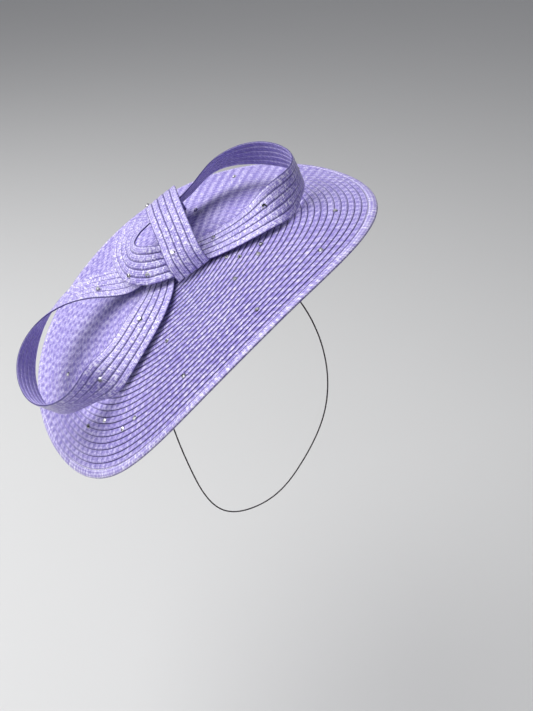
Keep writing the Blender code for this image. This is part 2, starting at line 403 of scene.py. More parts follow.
@dataclass(frozen=True)
class Thread:
    """Twisted sewing thread."""

    name: str
    colour: Colour = (0.55, 0.50, 0.82)

    def make(self) -> bpy.types.Material:
        """Build the finish: a fine fuzz over the twist."""
        g = Graph(self.name)
        fuzz = g.noise(3200.0, 2.0)
        colour = g.mix(fuzz, toned(self.colour, 0.7), self.colour)
        return g.surface(Base_Color=colour, Roughness=0.55 + fuzz * 0.2,
                         Normal=g.bump(fuzz, 0.05 * MM))


@dataclass(frozen=True)
class CutStone:
    """Foil-backed cut stone; each facet carries a painted reflection, from black to white."""

    name: str
    reflected_white: Colour = (0.97, 0.97, 1.0)
    reflected_black: Colour = (0.035, 0.035, 0.045)

    def make(self) -> bpy.types.Material:
        """Build the finish: painted reflections on the facets, from white to black, with faint
        scuffs.
        """
        g = Graph(self.name)
        tone, _ = g.rows()
        scuff = g.noise(900.0)
        # Each facet's painted reflection stands in for the light the stone throws back.
        colour = g.mix(tone, self.reflected_black, self.reflected_white)
        return g.surface(Base_Color=colour, Metallic=0.55 + tone * 0.3,
                         Roughness=0.05 + scuff * 0.08, Normal=g.bump(scuff, 0.01 * MM),
                         Coat_Weight=1.0, Coat_Roughness=0.03)


@dataclass(frozen=True)
class Floor:
    """Matt studio paper."""

    name: str = "studio_paper"
    colour: Colour = (0.60, 0.60, 0.595)

    def make(self) -> bpy.types.Material:
        """Build the finish: almost even, with a trace of tooth."""
        g = Graph(self.name)
        tooth = g.noise(3.0)
        colour = g.mix(tooth, toned(self.colour, 0.985), self.colour)
        return g.surface(Base_Color=colour, Roughness=0.9)


# ---- Shape of the hat ------------------------
@dataclass(frozen=True)
class HatShape:
    """How the disc is blocked and bent, and how the finished hat is tilted."""

    turn: float = math.radians(35.6)
    rise: float = math.radians(37.85)
    lean: float = math.radians(-13.4)
    radius: float = 177 * MM
    bend_raised: float = 254 * MM
    bend_low: float = 385 * MM
    blend: float = 0.012
    oval: float = 0.019
    heart: float = -0.0213
    lopsided: float = 0.0074
    front_sag: float = 0.0887
    twist: float = -0.169
    end_dip: float = -2.87
    front_lip: float = 0.413
    corner_lift: float = 4.76
    raised_dip: float = -2.60
    crown: float = 3.65 * MM

    def tilt(self) -> np.ndarray:
        """The turn from the level hat frame to the worn one."""
        turned = (Matrix.Rotation(self.turn, 3, "Z") @ Matrix.Rotation(-self.rise, 3, "Y")
                  @ Matrix.Rotation(self.lean, 3, "X"))
        return np.array(turned)

    def bent(self, arc: np.ndarray) -> tuple[np.ndarray, np.ndarray]:
        """Reach and height of the bent disc at an arc length along its long axis."""
        raised = 1 / (1 + np.exp(-arc / self.blend))
        radius = self.bend_low + (self.bend_raised - self.bend_low) * raised
        return radius * np.sin(arc / radius), radius * (np.cos(arc / radius) - 1)

    def arc_of(self, reach: np.ndarray) -> np.ndarray:
        """Arc length along the disc for a straight reach."""
        arc = np.array(reach, dtype=float)
        for _ in range(8):
            arc = arc + reach - self.bent(arc)[0]
        return arc

    def height(self, arc: np.ndarray, front: np.ndarray) -> np.ndarray:
        """Height of the brim's upper face in the hat frame."""
        return (self.bent(arc)[1] - self.front_sag * front ** 2 + self.twist * arc * front
                + self.end_dip * front * arc ** 2 + self.front_lip * front ** 3
                + self.corner_lift * front * arc ** 3 + self.raised_dip * arc * front ** 2)

    def worn(self, along: Any, front: Any, height: Any) -> np.ndarray:
        """Points of the tilted hat from hat-frame metres."""
        along, front, height = np.broadcast_arrays(along, front, height)
        return np.stack([along, -front, height + self.crown], axis=-1) @ self.tilt().T

    def on_brim(self, arc: Any, front: Any, lift: Any) -> np.ndarray:
        """Points a lift above the brim, by arc length and distance to the front."""
        arc, front = np.asarray(arc, float), np.asarray(front, float)
        return self.worn(self.bent(arc)[0], front, self.height(arc, front) + lift)

    def over_brim(self, along: Any, front: Any, lift: Any) -> np.ndarray:
        """Points a lift above the brim, by straight reach."""
        along, front = np.asarray(along, float), np.asarray(front, float)
        return self.worn(along, front, self.height(self.arc_of(along), front) + lift)

    def rings(self, radii: np.ndarray, lifts: np.ndarray, spokes: int) -> np.ndarray:
        """Rings of the blocked outline.

        Args:
            radii: The radius of each ring.
            lifts: Its lift above the brim.
            spokes: Steps round each ring.

        Returns:
            Points, one row a ring, whose last point is its first.
        """
        turn = np.linspace(0, 2 * math.pi, spokes + 1)
        shape = (self.oval * np.cos(2 * turn) + self.lopsided * np.cos(3 * turn)
                 + self.heart * np.sin(3 * turn))
        reach = radii[:, None] * (1 + shape * radii[:, None] / self.radius)
        points = self.on_brim(reach * np.cos(turn), reach * np.sin(turn), lifts[:, None])
        points[:, -1] = points[:, 0]
        return points


HAT = HatShape()


# ---- Making pieces ---------------------------
def sheet(places: np.ndarray, marks: np.ndarray) -> bmesh.types.BMesh:
    """Shape a grid into a surface and close its seams and poles.

    Args:
        places: Where each point of the grid goes, by row and column.
        marks: The UV of each face's corners, by row, column, next row and next column.

    Returns:
        The mesh, with open ends filled and its faces outwards.
    """
    rows, columns = places.shape[0] - 1, places.shape[1] - 1
    bm = bmesh.new()
    bmesh.ops.create_grid(bm, x_segments=columns, y_segments=rows, size=0.5)
    bm.verts.index_update()
    for vert, place in zip(bm.verts, places.reshape(-1, 3)):
        vert.co = place
    chart = bm.loops.layers.uv.new(UV)
    for face in bm.faces:
        corners = [divmod(loop.vert.index, columns + 1) for loop in face.loops]
        i, j = min(c[0] for c in corners), min(c[1] for c in corners)
        for loop, (row, column) in zip(face.loops, corners):
            loop[chart].uv = marks[i, j, row - i, column - j]
    bmesh.ops.remove_doubles(bm, verts=[v for v in bm.verts if v.is_boundary], dist=1e-7)
    open_edges = [e for e in bm.edges if e.is_boundary]
    if open_edges:
        ends = bmesh.ops.holes_fill(bm, edges=open_edges, sides=0)["faces"]
        bmesh.ops.triangulate(bm, faces=ends)
    bmesh.ops.recalc_face_normals(bm, faces=bm.faces)
    return bm


def corner_marks(along: np.ndarray, across: np.ndarray) -> np.ndarray:
    """UVs that run along the rows of points and across the columns.

    Args:
        along: The first coordinate of each row of points.
        across: The second coordinate at both sides of each column of faces.

    Returns:
        The UV of every corner.
    """
    rows, columns = len(along) - 1, len(across)
    marks = np.zeros((rows, columns, 2, 2, 2))
    marks[..., 0] = np.stack([along[:-1], along[1:]], axis=1)[:, None, :, None]
    marks[..., 1] = across[None, :, None, :]
    return marks


def placed(seat: np.ndarray, own: tuple, ahead: np.ndarray) -> Matrix:
    """The move that takes the origin to a seat and turns a direction to point ahead."""
    turn = Vector(own).rotation_difference(Vector(ahead)).to_matrix().to_4x4()
    return Matrix.Translation(Vector(seat)) @ turn


def turned_marks(turn: np.ndarray, around: np.ndarray) -> np.ndarray:
    """UVs for rings: turn runs along each ring, around from ring to ring."""
    marks = np.zeros((len(around) - 1, len(turn) - 1, 2, 2, 2))
    marks[..., 0, 0], marks[..., 1, 0] = turn[None, :-1, None], turn[None, 1:, None]
    marks[..., 0, :, 1], marks[..., 1, :, 1] = around[:-1, None, None], around[1:, None, None]
    return marks


def keep(name: str, bm: bmesh.types.BMesh, finish: bpy.types.Material,
         nodes: Sequence[str], sharp: float = 45.0) -> bpy.types.Object:
    """Turn a mesh into a finished piece that stands for its CAD nodes.

    Args:
        name: The piece's name.
        bm: Its mesh, which is used up.
        finish: Its material.
        nodes: The CAD nodes it replaces.
        sharp: Angle in degrees over which an edge stays sharp.

    Returns:
        The piece.
    """
    mesh = bpy.data.meshes.new(name)
    bm.to_mesh(mesh)
    bm.free()
    mesh.materials.append(finish)
    mesh.shade_smooth()
    mesh.set_sharp_from_angle(angle=math.radians(sharp))
    piece = bpy.data.objects.new(name, mesh)
    bpy.context.scene.collection.objects.link(piece)
    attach(piece, ROOT)
    if nodes:
        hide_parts(*nodes)
    LOG.info("%s: %d faces", name, len(mesh.polygons))
    return piece


def smooth_row(points: Sequence[Sequence[float]], count: int) -> np.ndarray:
    """Evenly spaced points of a smooth curve through the given ones.

    Args:
        points: The stations; the first three numbers are a place.
        count: How many points to give.

    Returns:
        The points of a natural cubic spline.
    """
    route = np.array(points, dtype=float)
    n = len(route)
    step = np.linalg.norm(np.diff(route[:, :3], axis=0), axis=1)
    at = np.concatenate(([0.0], np.cumsum(step)))
    system, right = np.eye(n), np.zeros_like(route)
    for i in range(1, n - 1):
        system[i, i - 1:i + 2] = (step[i - 1], 2 * (step[i - 1] + step[i]), step[i])
        after, before = (route[i + 1] - route[i]) / step[i], (route[i] - route[i - 1]) / step[i - 1]
        right[i] = 6 * (after - before)
    bow = np.linalg.solve(system, right)
    s = np.linspace(0, at[-1], count)
    i = np.clip(np.searchsorted(at, s, side="right") - 1, 0, n - 2)
    gap = step[i][:, None]
    a = (at[i + 1] - s)[:, None] / gap
    b = 1 - a
    bulge = ((a ** 3 - a) * bow[i] + (b ** 3 - b) * bow[i + 1]) * gap ** 2 / 6
    return a * route[i] + b * route[i + 1] + bulge


def unit(vectors: np.ndarray) -> np.ndarray:
    """The same vectors with length 1."""
    return vectors / np.linalg.norm(vectors, axis=-1, keepdims=True)


def length_along(points: np.ndarray) -> np.ndarray:
    """Distance from the first point to each point."""
    return np.concatenate([[0.0], np.cumsum(np.linalg.norm(np.diff(points, axis=0), axis=1))])


def tube(line: np.ndarray, radius: float, sides: int, repeat: float,
         closed: bool = False) -> bmesh.types.BMesh:
    """Round tube along a line.

    Args:
        line: The points it follows.
        radius: Its radius.
        sides: Facets round it.
        repeat: Length of one pattern repeat.
        closed: Whether the line returns to its start.

    Returns:
        The tube's mesh.
    """
    ahead = unit(np.gradient(line, axis=0))
    if closed:
        ahead[0] = ahead[-1] = unit(line[1] - line[-2])
    side = np.zeros_like(line)
    side[0] = unit(np.cross(ahead[0], (0.3, 0.5, 0.81)))
    for k in range(1, len(line)):
        side[k] = unit(side[k - 1] - ahead[k] * side[k - 1].dot(ahead[k]))
    if closed:
        twist = math.atan2(np.cross(side[-1], side[0]).dot(ahead[0]), side[-1].dot(side[0]))
        turns = np.linspace(0, twist, len(line))[:, None]
        side = side * np.cos(turns) + np.cross(ahead, side) * np.sin(turns)
    up = np.cross(ahead, side)
    turn = np.linspace(0, 2 * math.pi, sides + 1)[None, :, None]
    places = line[:, None] + radius * (side[:, None] * np.cos(turn) + up[:, None] * np.sin(turn))
    places[:, -1] = places[:, 0]
    if closed:
        places[-1] = places[0]
    across = np.stack([np.arange(sides), np.arange(1, sides + 1)], axis=1) / sides
    return sheet(places, corner_marks(length_along(line) / repeat, across))


# ---- Brim ------------------------------------
@dataclass
class Brim:
    """Spiral-sewn disc, its folded outer row and the wire sewn under it."""

    edge_row: float = 6 * MM
    gap: float = 0.35 * MM
    rows: int = 33
    spokes: int = 240
    repeat: float = 9.4 * MM
    wire: float = 0.6 * MM
    wire_sides: int = 10
    wire_inset: float = 9.5 * MM
    thickness: float = 1.8 * MM
    # Across one row: share of its width from the inner edge, lift in mm, row coordinate.
    upper: tuple = ((-0.06, -0.52, 0.002), (0.06, -0.42, 0.05), (0.20, -0.10, 0.20),
                    (0.45, 0.24, 0.45), (0.75, 0.52, 0.72), (0.95, 0.58, 0.88),
                    (1.05, 0.42, 0.945), (1.055, 0.10, 0.965))
    under: tuple = ((0.0, -1.45, 0.0), (0.03, -2.05, 0.03), (0.16, -2.20, 0.16),
                    (0.60, -1.85, 0.60))
    low_mark: float = 0.002  # row coordinates just inside a row's two edges
    high_mark: float = 0.998
    under_mark: float = 0.996
    # The outer row's fold: distance from its inner edge and lift, both in mm.
    fold: tuple = ((0, 0.1), (0.8, 0.45), (2, 0.66), (3.6, 0.62), (5, 0.35), (5.8, -0.25),
                   (6, -0.9), (5.8, -1.6), (5, -2.2), (3.6, -2.42), (2, -2.45), (0.8, -2.3),
                   (0, -1.9))

    def build(self) -> None:
        """Build and dress the three pieces."""
        self._disc()
        self._folded_edge()
        self._wire()

    def _disc(self) -> None:
        """The shingled rows, above and below, from pole to pole."""
        inner = HAT.radius - self.edge_row - self.gap
        pitch = inner / self.rows
        middle = 0.3  # lift in mm of the disc's middle, and its row coordinate
        radii, lifts, strips = [0.0], [middle], []
        for k in range(self.rows):
            for t, lift, mark in self.upper:
                if k == 0 and t < 0.1:
                    continue
                strips.append((k, mark) if t > 0 else (k - 1, self.high_mark))
                radii.append(min((k + t) * pitch, inner))
                lifts.append(lift)
        top = len(strips)
        for k in reversed(range(self.rows)):
            for t, lift, mark in reversed(self.under):
                strips.append((k + self.rows, mark))
                radii.append((k + t) * pitch)
                lifts.append(lift)
        places = HAT.rings(np.array(radii), np.array(lifts) * MM, self.spokes)
        marks = np.zeros((len(strips), self.spokes, 2, 2, 2))
        turn = np.arange(self.spokes + 1) / self.spokes
        before = middle
        for i, (k, mark) in enumerate(strips):
            if i and strips[i - 1][0] != k:
                before = self.low_mark if i < top else self.under_mark
            around = 2 * math.pi * (k % self.rows + 0.5) * pitch
            u = max(3, round(around / self.repeat)) * turn + 0.5 * (k % 2)
            marks[i, :, :, 0, 0], marks[i, :, :, 1, 0] = u[:-1, None], u[1:, None]
            marks[i, :, 0, :, 1] = k + before
            marks[i, :, 1, :, 1] = k + max(mark, self.low_mark)
            before = mark
        # Wider painted shadow in the seams, deeper painted shade in the hollows and fewer painted
        # highlight flecks than the ribbons.
        straw = Straw("brim_straw", strands=6, groove=0.27, eye=1.0, painted_highlight=0.5, inside=NO_INNER)
        keep("straw_disc", sheet(places, marks), straw.make(), ["brim_braid"])

    def _folded_edge(self) -> None:
        """The outer row, folded over the cut edge."""
        start = HAT.radius - self.edge_row
        ring = np.array(self.fold + self.fold[:1], dtype=float)
        places = HAT.rings(start + ring[:, 0] * MM, ring[:, 1] * MM, self.spokes)
        places[-1] = places[0]
        repeats = round(2 * math.pi * HAT.radius / PLAIT)
        turn = repeats * np.arange(self.spokes + 1) / self.spokes
        marks = turned_marks(turn, np.linspace(0.04, 1.96, len(ring)))
        straw = Straw("edge_straw", groove=0.08, inside=NO_INNER)
        keep("folded_edge_row", sheet(places, marks), straw.make(),
             ["brim_edge_row"])

    def _wire(self) -> None:
        """The wrapped wire under the outer rows."""
        depth = -self.thickness - self.gap - 1.3 * self.wire - 0.2 * MM
        radius = HAT.radius - self.wire_inset
        line = HAT.rings(np.array([radius]), np.array([depth]), self.spokes)[0]
        keep("wrapped_wire", tube(line, self.wire, self.wire_sides, 5 * MM, closed=True),
             WrappedWire("wire_cotton").make(), ["brim_wire"])


# ---- Bow -------------------------------------
class End(Enum):
    """How the start of a ribbon is finished."""

    TUCKED = "tucked"
    STEPPED = "stepped"


@dataclass
class Ribbon:
    """Flat ribbon of braid rows sewn side by side, swept along its stations."""

    name: str
    node: str
    stations: tuple
    points: int
    side: int
    rows: int = 5
    width: float = 31 * MM
    camber: float = 0.5 * MM
    start: End = End.TUCKED
    notch: float = 1.1 * MM
    # Across one row: share of its width, then height in mm, on the outer and inner face.
    outer: tuple = ((0.0, 0.30), (0.06, 0.46), (0.32, 0.72), (0.70, 0.92), (0.93, 0.86),
                    (1.0, 0.58))
    inner: tuple = ((0.0, -0.58), (0.07, -0.84), (0.30, -0.90), (0.68, -0.70), (0.94, -0.44),
                    (1.0, -0.30))
    inner_rows: int = 10  # what the row coordinate of the inner face is raised by, which gives it the straw's painted inner-face shade
    hem: float = 0.004  # how far a mark keeps inside its row

    def frames(self, count: int) -> tuple[np.ndarray, np.ndarray, np.ndarray]:
        """Centres, directions across and outward directions along the ribbon.

        Args:
            count: How many stations to give.

        Returns:
            The three arrays in the worn frame.
        """
        rows = smooth_row(self.stations, count)
        centres = HAT.over_brim(rows[:, 0] * MM, rows[:, 1] * MM, rows[:, 2] * MM)
        ahead = unit(np.gradient(centres, axis=0))
        across = np.stack([rows[:, 3], -rows[:, 4], rows[:, 5]], axis=1) @ HAT.tilt().T
        across = unit(across - ahead * (across * ahead).sum(1, keepdims=True))
        return centres, across, np.cross(across, ahead) * self.side

    def section(self) -> np.ndarray:
        """Points round the ribbon: place across, height, row coordinate and the share of a row."""
        points = []
        row = self.width / self.rows
        for r in range(self.rows):
            points += [((r + t) * row - self.width / 2, h * MM, r + t, t) for t, h in self.outer]
        for r in reversed(range(self.rows)):
            points += [((r + t) * row - self.width / 2, h * MM, r + t + self.inner_rows, t)
                       for t, h in reversed(self.inner)]
        points = np.array(points + points[:1])
        points[:, 1] += self.camber * (1 - (2 * points[:, 0] / self.width) ** 2)
        return points

    def build(self, finish: bpy.types.Material) -> None:
        """Sweep the ribbon.

        Args:
            finish: The straw it is made of.
        """
        centres, across, out = self.frames(self.points)
        ahead = unit(np.gradient(centres, axis=0))
        ring = self.section()
        places = (centres[:, None] + across[:, None] * ring[None, :, :1]
                  + out[:, None] * ring[None, :, 1:2])
        if self.start is End.STEPPED:
            slide = (ring[:, 3] - 0.2)[:, None] * self.notch
            for k, share in ((0, 1.0), (1, 0.5)):
                places[k] += ahead[k] * slide * share
        places[:, -1] = places[:, 0]
        count = len(ring) - 1
        across_marks = np.zeros((count, 2))
        for j in range(count):
            a, b = ring[j, 2], ring[j + 1, 2]
            base = math.floor(min(a, b) + TINY)
            if TINY <= abs(a - b) <= 1.01:
                across_marks[j] = np.clip((a, b), base + self.hem, base + 1 - self.hem)
            else:
                across_marks[j] = base + self.hem
        marks = corner_marks(length_along(centres) / PLAIT, across_marks)
        marks[..., 0] += (np.floor(across_marks[:, 0]) % 2 * 0.5)[None, :, None, None]
        keep(self.name, sheet(places, marks), finish, [self.node], sharp=38)


@dataclass
class Bow:
    """Two loops, the curl, the wrap over them and the rolled core they are sewn round."""

    core_at: tuple = (27, -9, 21)
    core_turns: float = 2.2
    core_points: int = 90
    core_width: float = 20 * MM
    core_start: float = 1.6  # the coil's reach in mm, growing by core_growth
    core_growth: float = 5.4
    core_thickness: float = 1.3
    # Share of a row that the painted shadow in the seams takes on the ribbons.
    groove: float = 0.135
    # Round the rolled ribbon: share of half its width and of its thickness.
    core_ring: tuple = ((-1, -0.42), (-0.3, -0.5), (0.3, -0.5), (1, -0.42), (1, 0.42),
                        (0.3, 0.5), (-0.3, 0.5), (-1, 0.42), (-1, -0.42))

    def ribbons(self) -> dict[str, Ribbon]:
        """The four ribbons by name. Stations: along, front, lift in mm, then across."""
        left = Ribbon("left_loop", "bow_left_loop", (
            (-2, -4, 4, 0.68, 0.73, 0.0), (-15, 12, 5.5, 0.7, 0.7, -0.1),
            (-30, 32, 10, 0.66, 0.68, -0.32), (-77, 44, 13, 0.3, 0.80, -0.52),
            (-121, 35, 24, 0.36, -0.3, -0.88), (-148, -9, 36, 0.14, -0.29, -0.95),
            (-134, -51, 42, -0.09, -0.47, -0.88), (-92, -68, 39, 0.05, -0.9, -0.43),
            (-50, -59, 25, 0.4, -0.9, 0.1), (-21, -37, 8, 0.69, -0.67, 0.2),
            (-8, -26, 6, 0.7, -0.7, 0.1)), 320, -1)
        right = Ribbon("right_loop", "bow_right_loop", (
            (12, 4, 8, -0.42, 0.9, 0.0), (26, 21, 6, -0.42, 0.9, -0.05),
            (77, 57, 13.5, -0.5, 0.74, -0.46), (115, 46, 21, -0.45, -0.04, -0.89),
            (135, 12, 29, -0.13, -0.14, -0.98), (128, -27, 33, 0.0, -0.39, -0.92),
            (96, -51, 30, 0.07, -0.8, -0.6), (73, -52, 23, -0.05, -0.85, -0.52),
            (52, -49, 21, -0.05, -0.88, -0.45)), 240, 1)
        curl = Ribbon("curl", "bow_curl", (
            (47, -49, 21.5, -0.05, -0.9, -0.4), (32, -50, 26, -0.1, -0.98, -0.1),
            (14, -50, 30, -0.4, -0.9, 0.1), (-2, -42, 31, -0.8, -0.5, 0.0),
            (-12, -27, 28, -0.9, -0.15, -0.35), (-14, -4, 26, -0.82, 0.12, -0.5),
            (-7, 10, 22, -0.5, 0.5, -0.6), (5, 15, 15, -0.4, 0.7, -0.55)), 110, 1)
        wrap = Ribbon("wrap", "bow_wrap", (
            (10.5, 37.5, 3.4, 0.9, 0.4, 0.06), (12, 36, 13, 0.87, 0.45, -0.1),
            (20, 24, 26, 0.82, 0.55, -0.1), (30, 6, 37, 0.78, 0.6, -0.1),
            (38, -14, 41, 0.78, 0.6, -0.05), (44, -36, 38.5, 0.8, 0.58, 0.0),
            (47, -59, 30, 0.8, 0.55, 0.1), (48, -78, 16, 0.84, 0.5, -0.1),
            (47, -85, 2.8, 0.83, 0.48, -0.17)), 140, 1, start=End.STEPPED)
        return {"left": left, "right": right, "curl": curl, "wrap": wrap}

    def build(self) -> dict[str, Ribbon]:
        """Build the ribbons and the core, and give the ribbons for the stones."""
        ribbons = self.ribbons()
        for name, ribbon in ribbons.items():
            ribbon.build(Straw(f"{name}_straw", groove=self.groove).make())
        self._core()
        return ribbons

    def _core(self) -> None:
        """A rolled braid end, seen only between the ribbons."""
        turn = np.linspace(0, self.core_turns * 2 * math.pi, self.core_points)
        reach = self.core_start + self.core_growth * turn / turn[-1]
        x, y, z = self.core_at
        ring = np.array(self.core_ring)
        thick, wide = ring[:, 1] * self.core_thickness, ring[:, 0] * self.core_width / 2 / MM
        around = reach[:, None] + thick[None, :]
        places = HAT.over_brim((x + around * np.cos(turn)[:, None]) * MM,
                               (y + wide[None, :]) * MM,
                               (z + around * np.sin(turn)[:, None]) * MM)
        places[:, -1] = places[:, 0]
        low = np.linspace(0, 3.6, len(ring) - 1)
        marks = corner_marks(reach * turn * MM / PLAIT, np.stack([low, low + 0.3], axis=1))
        keep("rolled_core", sheet(places, marks), Straw("core_straw").make(),
             ["bow_core"])


# ---- Stones ----------------------------------
@dataclass
class Stones:
    """Flat-backed cut stones over the brim and the bow."""

    radius: float = 2.1 * MM
    height: float = 1.6 * MM
    sides: int = 8
    # On the brim: arc along it and distance to the front, in mm.
    brim: tuple = (
        (-120, -58), (119, 82), (74, 132), (-59, 126), (8, 147), (21, 91), (-106, 89), (-125, 42),
        (-139, 18), (-119, 78), (-46, 72), (118, -88), (63, -62), (34, 54), (39, 68), (48, 84),
        (57, 73), (161, -43))
    # On the bow: ribbon, share of its length, place across as a share of its width.
    bow: tuple = (
        ("left", 0.875, -0.2), ("left", 0.165, -0.1), ("left", 0.305, -0.05),
        ("right", 0.13, -0.2), ("right", 0.31, -0.15), ("curl", 0.86, 0.24), ("curl", 0.72, 0.3),
        ("wrap", 0.13, -0.2), ("wrap", 0.64, -0.4))
    brim_lift: float = 0.45 * MM
    bow_lift: float = 1.35 * MM
    stations: int = 201
    back: float = 0.92  # size of the back, as a share of the girdle
    # Girdle, crown and table: share of the height added, and size against the step below.
    steps: tuple = ((0.28, 1 / 0.92), (0.30, 0.82), (0.42, 0.66))
    # Painted reflection of a facet, from black to white, and how often each is drawn.
    reflection_tones: tuple = (0.0, 0.3, 0.8, 1.0)
    odds: tuple = (0.3, 0.15, 0.2, 0.35)

    def build(self, ribbons: dict[str, Ribbon]) -> None:
        """Set every stone.

        Args:
            ribbons: The bow's ribbons by name.
        """
        finish = CutStone("cut_stone").make()
        draw = np.random.default_rng(SEED)
        for number, (arc, front) in enumerate(self.brim, 1):
            arc, front, step = arc * MM, front * MM, 2 * MM
            fore = HAT.on_brim(arc, front + step, 0) - HAT.on_brim(arc, front - step, 0)
            side = HAT.on_brim(arc + step, front, 0) - HAT.on_brim(arc - step, front, 0)
            up = unit(np.cross(side, fore))
            up = up if up @ HAT.tilt()[:, 2] > 0 else -up
            self._stone(f"brim_stone_{number:02d}", HAT.on_brim(arc, front, self.brim_lift), up,
                        finish, f"brim_crystal_{number:02d}", draw)
        for number, (which, part, offset) in enumerate(self.bow, 1):
            ribbon = ribbons[which]
            centres, across, out = ribbon.frames(self.stations)
            k = round(part * (self.stations - 1))
            seat = centres[k] + across[k] * ribbon.width * offset + out[k] * self.bow_lift
            self._stone(f"bow_stone_{number:02d}", seat, out[k], finish,
                        f"bow_crystal_{number:02d}", draw)

    @staticmethod
    def _order(facet: bmesh.types.BMFace) -> float:
        """Where a facet comes in a fixed order: from the back up, then round the stone."""
        centre = facet.calc_center_median()
        return centre.z / MM * 100 + math.atan2(centre.y, centre.x)

    def _stone(self, name: str, seat: np.ndarray, up: np.ndarray, finish: bpy.types.Material,
               node: str, draw: np.random.Generator) -> None:
        """One stone: foil back, girdle, crown facets and table.

        Args:
            name: The piece's name.
            seat: Where its back rests.
            up: The way it faces.
            finish: The stone's material.
            node: The CAD node it stands for.
            draw: Source of each facet's painted reflection tone.
        """
        bm = bmesh.new()
        chart = bm.loops.layers.uv.new(UV)
        bmesh.ops.create_circle(bm, cap_ends=True, segments=self.sides,
                                radius=self.radius * self.back)
        face = list(bm.faces)
        for lift, size in self.steps:
            top = bmesh.ops.extrude_face_region(bm, geom=[face[0]])["geom"]
            verts = [v for v in top if isinstance(v, bmesh.types.BMVert)]
            face = [f for f in top if isinstance(f, bmesh.types.BMFace)]
            bmesh.ops.translate(bm, verts=verts, vec=(0, 0, self.height * lift))
            centre = sum((v.co for v in verts), Vector()) / len(verts)
            bmesh.ops.scale(bm, verts=verts, vec=(size, size, 1),
                            space=Matrix.Translation(-centre))
        bmesh.ops.recalc_face_normals(bm, faces=bm.faces)
        bm.faces.sort(key=self._order)
        for facet in bm.faces:
            tone = float(draw.choice(self.reflection_tones, p=self.odds))
            for loop in facet.loops:
                loop[chart].uv = (tone, 0.0)
        spin = Matrix.Rotation(float(draw.uniform(0, math.pi)), 4, "Z")
        bmesh.ops.transform(bm, verts=bm.verts, matrix=placed(seat, (0, 0, 1), up) @ spin)
        keep(name, bm, finish, [node], sharp=5)


